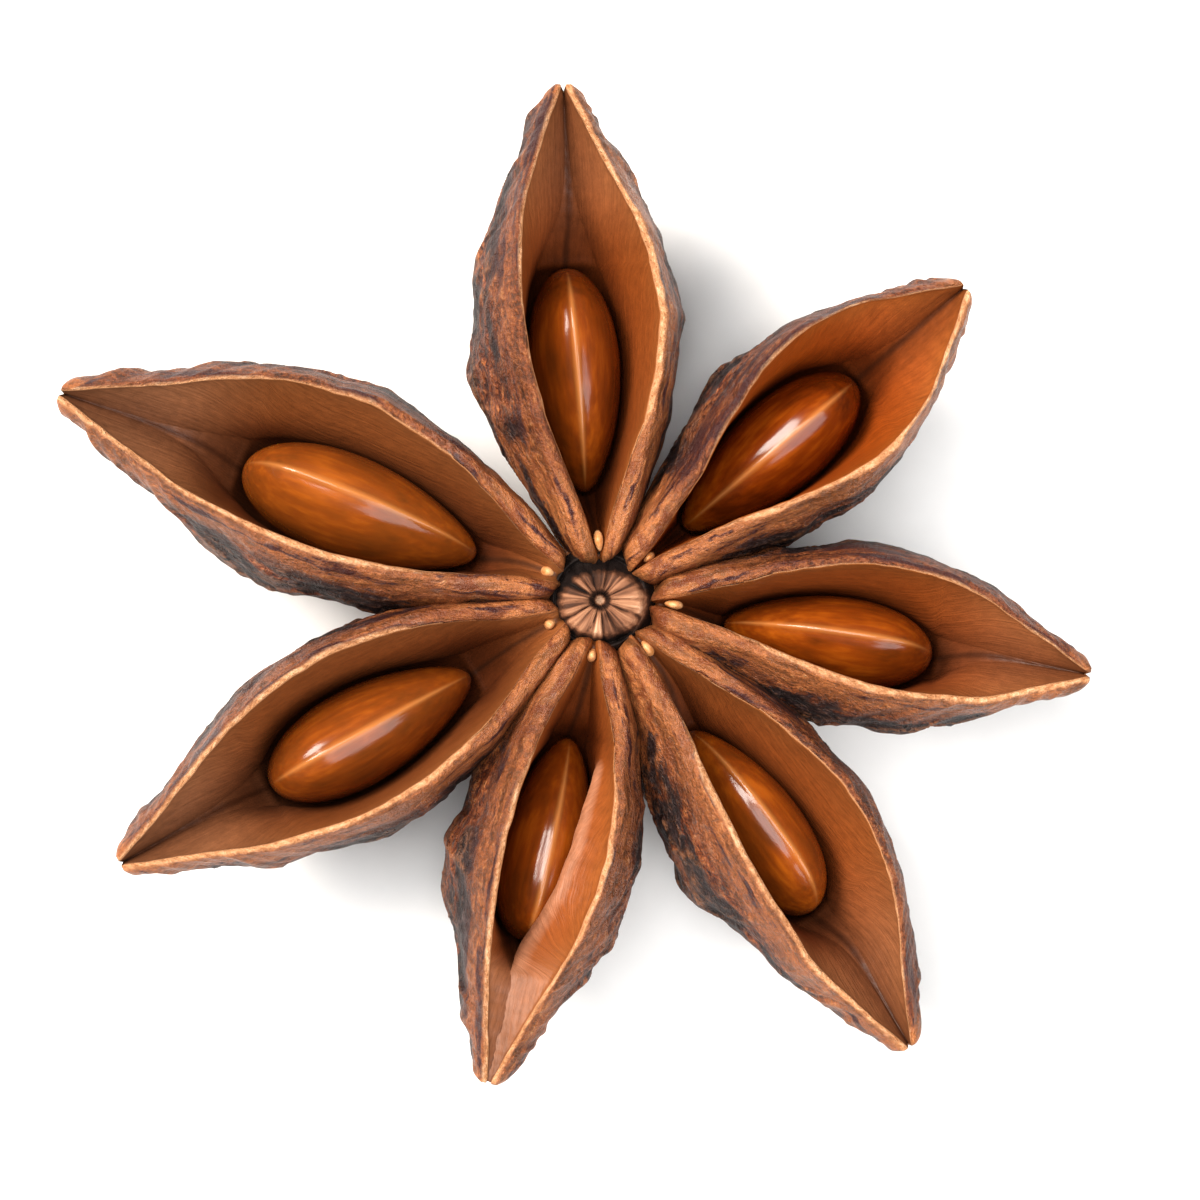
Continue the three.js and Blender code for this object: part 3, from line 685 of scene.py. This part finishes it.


# The hard inner wall. It is polished like thin horn: satin, orange-brown and streaked along its
# fibres, and grey-tan at the beak. It is paler towards the lips and darker where it deepens to the
# keel, partly its own tone and partly painted shade. Some of the seven are a greyer brown than
# others: "wear" goes on with how warm the wall is, which also gives a painted glow in its depths,
# and ends with how far its flesh is bared. "form" ends with how deep the place lies.
def lining_finish():
    lining, tree, shader = shell("hard_inner_wall")
    grain = add(tree, "Attribute", attribute_name="grain").node.outputs["Vector"]
    form = add(tree, "Attribute", attribute_name="form").node.outputs["Vector"]
    wear = add(tree, "Attribute", attribute_name="wear").node.outputs["Vector"]
    share, from_edge, sunk = add(tree, "SeparateXYZ", form).node.outputs
    _, warmth_and_glow, bare = add(tree, "SeparateXYZ", wear).node.outputs
    # Fibres about 0.1 mm apart run along the wall, through clouds 2 mm long and specks of 0.3 mm.
    pitch = add(tree, "VectorMath", grain, (0.5, 9.0, 1), operation="MULTIPLY")
    fibres = add(
        tree, "TexNoise", Vector=pitch, Scale=1.0, Detail=4.0, Roughness=0.62, Distortion=0.3
    )
    pitch = add(tree, "VectorMath", grain, (0.4, 1.1, 1), operation="MULTIPLY")
    clouds = add(tree, "TexNoise", Vector=pitch, Scale=1.0, Detail=5.0, Roughness=0.6)
    # The tones darken the deeper the place lies, partly its own tone and partly painted shade; the
    # warm tones stay lighter in the depths, a painted glow.
    level = add(tree, "Math", clouds, 0.4, sunk, operation="MULTIPLY_ADD")
    level = add(tree, "Math", level, 0.2, operation="SUBTRACT")
    warm = add(
        tree, "ValToRGB", level,
        stops=[(0.0, "#9a4f17"), (0.2, "#95440c"), (0.5, "#933f07"), (0.8, "#803304"),
               (1.0, "#602503")],
    )
    grey = add(
        tree, "ValToRGB", level,
        stops=[(0.0, "#85512c"), (0.2, "#7d4925"), (0.5, "#73411f"), (0.8, "#5f3318"),
               (1.0, "#41210e")],
    )
    tones = add(tree, "Mix", warmth_and_glow, grey, warm, data_type="RGBA")
    # Painted shade darkens the depths near the column, and it is duller towards the beak.
    painted_deep_shade = add(tree, "MapRange", share, 0.38, 0.12, interpolation_type="SMOOTHSTEP")
    painted_deep_shade = add(tree, "Math", painted_deep_shade, sunk, operation="MULTIPLY")
    tones = add(tree, "Mix", painted_deep_shade, tones, "#451d0a", data_type="RGBA")
    far = add(tree, "MapRange", share, 0.6, 0.85, interpolation_type="SMOOTHSTEP")
    dull = add(tree, "MapRange", warmth_and_glow, 0.0, 1.0, 0.75, 0.1)
    far = add(tree, "Math", far, dull, operation="MULTIPLY")
    tones = add(tree, "Mix", far, tones, "#7a5138", data_type="RGBA")
    # Bared flesh on the folded wall is a pale, dusty pink.
    bare = add(tree, "Math", clouds, 0.7, bare, operation="MULTIPLY_ADD")
    bare = add(tree, "MapRange", bare, 0.75, 1.2, 0.0, 0.62)
    tones = add(tree, "Mix", bare, tones, "#a97558", data_type="RGBA")
    # The seam of the two halves is a dark line along the floor. Past the seed, painted shade
    # darkens the groove round it.
    _, off_seam, _ = add(tree, "SeparateXYZ", grain).node.outputs
    seam_off = add(tree, "Math", off_seam, operation="ABSOLUTE")
    seam = add(tree, "Math", clouds, 0.16, seam_off, operation="MULTIPLY_ADD")
    seam = add(tree, "MapRange", seam, 0.24, 0.09, interpolation_type="SMOOTHSTEP")
    seam = add(tree, "Math", seam, 0.7, operation="MULTIPLY")
    tones = add(tree, "Mix", seam, tones, "#2c160a", data_type="RGBA")
    painted_groove_shade = add(tree, "MapRange", seam_off, 1.4, 0.0, 0.0, 0.6)
    past_seed = add(tree, "MapRange", share, 0.6, 0.72)
    painted_groove_shade = add(tree, "Math", painted_groove_shade, past_seed, operation="MULTIPLY")
    tones = add(tree, "Mix", painted_groove_shade, tones, "#38190a", data_type="RGBA")
    shade = add(tree, "MapRange", fibres, 0.28, 0.72, 0.86, 1.12)
    tones = add(tree, "Mix", 1.0, tones, shade, data_type="RGBA", blend_type="MULTIPLY")
    pitch = add(tree, "VectorMath", grain, (3.0, 4.5, 1), operation="MULTIPLY")
    specks = add(tree, "TexNoise", Vector=pitch, Scale=1.0, Detail=4.0, Roughness=0.7)
    shade = add(tree, "MapRange", specks, 0.3, 0.7, 0.8, 1.18)
    tones = add(tree, "Mix", 1.0, tones, shade, data_type="RGBA", blend_type="MULTIPLY")
    # The pale split edge runs a little way down the wall.
    edge = add(tree, "Math", from_edge, operation="ABSOLUTE")
    split = add(tree, "Math", edge, -1.0, add(tree, "Math", clouds, 0.22, operation="MULTIPLY"),
                operation="MULTIPLY_ADD")
    split = add(tree, "MapRange", split, 0.04, 0.12, interpolation_type="SMOOTHSTEP")
    tones = add(tree, "Mix", split, tones, "#c08a60", data_type="RGBA")
    tree.links.new(tones, shader.inputs["Base Color"])
    shader.inputs["Roughness"].default_value = 0.45
    shader.inputs["IOR"].default_value = 1.42
    shader.inputs["Specular IOR Level"].default_value = 0.3
    height = add(tree, "Math", specks, 0.5, fibres, operation="MULTIPLY_ADD")
    bump = add(tree, "Bump", Height=height, Strength=0.4, Distance=0.0001)
    tree.links.new(bump, shader.inputs["Normal"])
    return lining


lining = lining_finish()


# Every follicle starts as the same ball. Its axis becomes the middle line, and its upper half is
# pushed down into the lower one to make the boat.
ball = bmesh.new()
bmesh.ops.create_uvsphere(ball, u_segments=2 * HALF_STEPS, v_segments=STATIONS, radius=1)


def follicle_piece(follicle, phase):
    name = "follicle_" + follicle["name"]
    bm = ball.copy()
    x, y, z = np.array([vert.co for vert in bm.verts]).T
    station = np.rint(np.arccos(np.clip(z, -1, 1)) / math.pi * STATIONS).astype(int)
    step = HALF_STEPS + np.rint(np.arctan2(y, x) / math.pi * HALF_STEPS).astype(int)
    share, side, run, along, around, places, sunk, bare = follicle_sections(follicle, phase)
    lumps, relief = skin_relief(share, side, run, along, around, phase)
    corner = (station, step)
    put(bm, places[corner])
    run = np.broadcast_to(run, around.shape)
    side = np.broadcast_to(side, around.shape)
    # The skin ends at the split edge, which near the column lies low on the inner side.
    edge_run = 1.72 + 0.22 * (1 - ease(share, 0.1, 0.35))
    inside = (run >= edge_run - 0.03)[corner]
    mesh = mesh_of(name, bm)
    first = np.empty(len(mesh.polygons), int)
    mesh.polygons.foreach_get("loop_start", first)
    corners = np.empty(len(mesh.loops), int)
    mesh.loops.foreach_get("vertex_index", corners)
    wall = inside[corners[first]] & inside[corners[first + 1]] & inside[corners[first + 2]]
    mesh.polygons.foreach_set("material_index", wall.astype(int))
    raise_skin(mesh, (lumps + relief)[corner])
    edge_step = OUTER_STEPS + np.rint((edge_run - 1) * LIP_STEPS).astype(int)
    edge_left = np.take_along_axis(around, HALF_STEPS + edge_step, axis=1)
    edge_right = np.take_along_axis(around, HALF_STEPS - edge_step, axis=1)
    from_edge = around - np.where(side > 0, edge_left, edge_right)
    whole = np.where(side > 0, around[:, -1:], around[:, :1])
    grain_round = np.where(run < edge_run, -from_edge, side * (whole - around))
    layer = phase * 13.7 + np.where(run < edge_run, 0.8 * side * np.minimum(around, 2), 6)
    mark(mesh, "grain", (along + 0 * around)[corner], grain_round[corner], layer[corner])
    mark(mesh, "form", (share + 0 * around)[corner], from_edge[corner],
         np.where(inside, sunk[corner], relief[corner] + 0.3 * lumps[corner]))
    ahead, behind = follicle["rub"]
    mark(mesh, "wear", np.where(side > 0, ahead, behind)[corner], follicle["tint"], bare[corner])
    finish_piece(name, mesh, "husk", ["husk"], skin, lining)


for phase, follicle in enumerate(FOLLICLES):
    follicle_piece(follicle, phase)


# --------------------------------------------------------------------------------------- the nubs
# Between each pair of lips, beside the disc, stands the dried end of the cord that fed the seed:
# a smooth, pale orange nub, grown from the wall.
# Its distance from the axis, length and width, and how far it stands below the lips.
NUBS = {
    "north": (1.72, 0.62, 0.27, 0.22), "northwest": (1.72, 0.42, 0.3, 0.5),
    "southwest": (1.62, 0.36, 0.28, 0.3), "south": (1.62, 0.42, 0.27, 0.3),
    "southeast": (1.95, 0.52, 0.3, 0.35), "east": (2.15, 0.55, 0.26, 0.35),
    "northeast": (1.9, 0.4, 0.24, 0.35),
}


def nub_finish():
    cord_end, tree, shader = shell("dried_seed_cord")
    place = add(tree, "TexCoord").node.outputs["Object"]
    cloud = add(tree, "TexNoise", Vector=place, Scale=4000.0, Detail=3.0)
    tones = add(tree, "ValToRGB", cloud, stops=[(0.3, "#b46c30"), (0.7, "#e6b07a")])
    tree.links.new(tones, shader.inputs["Base Color"])
    shader.inputs["Roughness"].default_value = 0.4
    bump = add(tree, "Bump", Height=cloud, Strength=0.4, Distance=0.00008)
    tree.links.new(bump, shader.inputs["Normal"])
    return cord_end


def nubs_piece():
    whole = bmesh.new()
    for follicle in FOLLICLES:
        reach, length, width, below = NUBS[follicle["name"]]
        share = (reach - ROOT_RADIUS) / (follicle["reach"] - ROOT_RADIUS)
        share = np.array([share])
        height = rim_height(follicle, share) - below - 0.25
        (spot,) = placed(follicle, share, np.zeros(1), height)
        _, (along,), (across,) = middle_line(follicle, share)
        bm = bmesh.new()
        bmesh.ops.create_uvsphere(bm, u_segments=28, v_segments=20, radius=1)
        x, y, z = np.array([vert.co for vert in bm.verts]).T
        wide = 0.5 * width * (1 + 0.22 * z) * y
        plan = spot[:2] + np.outer(0.5 * length * z, along) + np.outer(wide, across)
        stand = spot[2] + 0.3 * x - 0.12 * z * z
        put(bm, np.stack([plan[:, 0], plan[:, 1], stand], axis=1))
        mesh = mesh_of("nub", bm)
        whole.from_mesh(mesh)
        bpy.data.meshes.remove(mesh)
    finish_piece("nubs", mesh_of("nubs", whole), "husk", ["husk"], nub_finish())


nubs_piece()


# -------------------------------------------------------------------------------------- the seeds
# One seed lies loose on edge in each follicle: a flattened egg with a hard, lacquer-like coat,
# blunt outwards, drawn to a point towards the column, and keeled by a fine ridge along its edge.
SEED_RIDGE, RIDGE_SPREAD = 0.06, 0.07


# The coat is glossy and a little deep, caramel brown, clouded darker, with the ridge paler. A seed
# has faded in the follicles whose walls have.
def seed_finish():
    coat, tree, shader = shell("seed_coat")
    form = add(tree, "Attribute", attribute_name="form").node.outputs["Vector"]
    grain = add(tree, "Attribute", attribute_name="grain").node.outputs["Vector"]
    ridge, fade, _ = add(tree, "SeparateXYZ", form).node.outputs
    # Clouds 2 mm long, and fibres 0.2 mm apart that only just show.
    pitch = add(tree, "VectorMath", grain, (0.5, 0.9, 0.9), operation="MULTIPLY")
    clouds = add(tree, "TexNoise", Vector=pitch, Scale=1.0, Detail=3.0)
    pitch = add(tree, "VectorMath", grain, (0.6, 5.0, 5.0), operation="MULTIPLY")
    fibres = add(tree, "TexNoise", Vector=pitch, Scale=1.0, Detail=3.0)
    level = add(tree, "Math", clouds, 0.65, add(tree, "Math", fibres, 0.35, operation="MULTIPLY"),
                operation="MULTIPLY_ADD")
    tones = add(
        tree, "ValToRGB", level, stops=[(0.35, "#4e1c02"), (0.5, "#6e2b03"), (0.65, "#914408")]
    )
    tones = add(tree, "Mix", fade, tones, "#9a5c24", data_type="RGBA")
    pale = add(tree, "Math", ridge, 0.6, operation="MULTIPLY")
    tones = add(tree, "Mix", pale, tones, "#bd7a3e", data_type="RGBA")
    tree.links.new(tones, shader.inputs["Base Color"])
    shader.inputs["Roughness"].default_value = 0.17
    shader.inputs["IOR"].default_value = 1.46
    shader.inputs["Specular IOR Level"].default_value = 0.4
    shader.inputs["Subsurface Weight"].default_value = 0.12
    shader.inputs["Subsurface Radius"].default_value = (1.0, 0.4, 0.12)
    shader.inputs["Subsurface Scale"].default_value = 0.0008
    bump = add(tree, "Bump", Height=fibres, Strength=0.12, Distance=0.00008)
    tree.links.new(bump, shader.inputs["Normal"])
    return coat


coat = seed_finish()


def seed_piece(follicle, phase):
    name = "seed_" + follicle["name"]
    at, lean, length, plump = follicle["seed"]
    bm = bmesh.new()
    bmesh.ops.create_uvsphere(bm, u_segments=120, v_segments=72, radius=1)
    x, y, z = np.array([vert.co for vert in bm.verts]).T
    taper = plump * (1 + 0.2 * z - 0.1 * z * z)
    turn = np.arctan2(y, np.abs(x))
    ridge = np.exp(-((turn / RIDGE_SPREAD) ** 2)) * (1 - np.abs(z) ** 6)
    aside = -0.5 * SEED_THICKNESS * taper * y
    shoulder = np.sqrt(1 + np.clip(z, 0, 1) ** 2 * (x > 0))
    rise = 0.5 * SEED_HEIGHT * taper * x * shoulder + np.sign(x) * SEED_RIDGE * ridge
    turn = math.radians(follicle["turn"])
    aside, rise = (
        lean + aside * math.cos(turn) + rise * math.sin(turn),
        rise * math.cos(turn) - aside * math.sin(turn),
    )
    at = np.full(len(x), at)
    middle = rim_height(follicle, at) - SEED_DEPTH - SEED_HEIGHT / 2
    places = placed(follicle, at, aside, middle + rise)
    _, along, _ = middle_line(follicle, at)
    places[:, :2] += along * (0.5 * length * z)[:, None]
    put(bm, places)
    mesh = mesh_of(name, bm)
    mark(mesh, "grain", 0.5 * length * z, aside, rise + 20.0 * phase)
    mark(mesh, "form", ridge, 0.26 * (1 - follicle["tint"]) ** 2, 0)
    finish_piece(name, mesh, "seed", [name], coat)


for phase, follicle in enumerate(FOLLICLES):
    seed_piece(follicle, phase)


# ---------------------------------------------------------------------- the floor, light and camera
# A plain pale sheet under the fruit, soft light from the upper left and from nearly overhead, with
# a weaker one opposite, and a camera straight above.
def floor_piece():
    bm = bmesh.new()
    bmesh.ops.create_grid(bm, x_segments=4, y_segments=4, size=3)
    floor = bpy.data.objects.new("floor", mesh_of("floor", bm))
    bpy.context.scene.collection.objects.link(floor)
    paper, tree, shader = shell("matt_paper")
    place = add(tree, "TexCoord").node.outputs["Object"]
    tooth = add(tree, "TexNoise", Vector=place, Scale=900.0, Detail=2.0)
    tones = add(tree, "ValToRGB", tooth, stops=[(0.0, "#efeeec"), (1.0, "#f6f5f3")])
    tree.links.new(tones, shader.inputs["Base Color"])
    shader.inputs["Roughness"].default_value = 0.9
    floor.data.materials.append(paper)


floor_piece()


def soft_light(name, azimuth, elevation, distance, size, power, colour="#ffffff"):
    """A square area light aimed at the fruit."""
    lamp = bpy.data.lights.new(name, "AREA")
    lamp.shape, lamp.size, lamp.energy = "SQUARE", size, power
    lamp.color = linear(colour)[:3]
    turn, rise = math.radians(azimuth), math.radians(elevation)
    out = Vector((math.cos(turn) * math.cos(rise), math.sin(turn) * math.cos(rise), math.sin(rise)))
    light = bpy.data.objects.new(name, lamp)
    light.location = out * distance
    light.rotation_euler = out.to_track_quat("Z", "Y").to_euler()
    bpy.context.scene.collection.objects.link(light)


soft_light("key", 148, 50, 0.5, 0.22, 4.4, "#fff6ec")
soft_light("overhead", 145, 82, 0.6, 0.32, 2.6, "#ffffff")
soft_light("fill", 320, 48, 0.5, 0.4, 2.5, "#ffffff")

world = bpy.data.worlds.new("studio")
world.use_nodes = True
world.node_tree.nodes["Background"].inputs["Color"].default_value = linear("#f2f4f8")
world.node_tree.nodes["Background"].inputs["Strength"].default_value = 0.2
bpy.context.scene.world = world
bpy.context.scene.view_settings.view_transform = "Standard"

CAMERA_LENS, CAMERA_SENSOR = 400, 36
CAMERA_WINDOW = 35
camera_data = bpy.data.cameras.new("camera")
camera_data.lens = CAMERA_LENS
camera_data.sensor_width = CAMERA_SENSOR
camera_data.clip_start, camera_data.clip_end = 0.01, 5
camera = bpy.data.objects.new("camera", camera_data)
camera_height = CAMERA_WINDOW * CAMERA_LENS / CAMERA_SENSOR + RIM_HEIGHT - 0.5
camera.location = (0, 0, camera_height * MM)
bpy.context.scene.collection.objects.link(camera)
bpy.context.scene.camera = camera
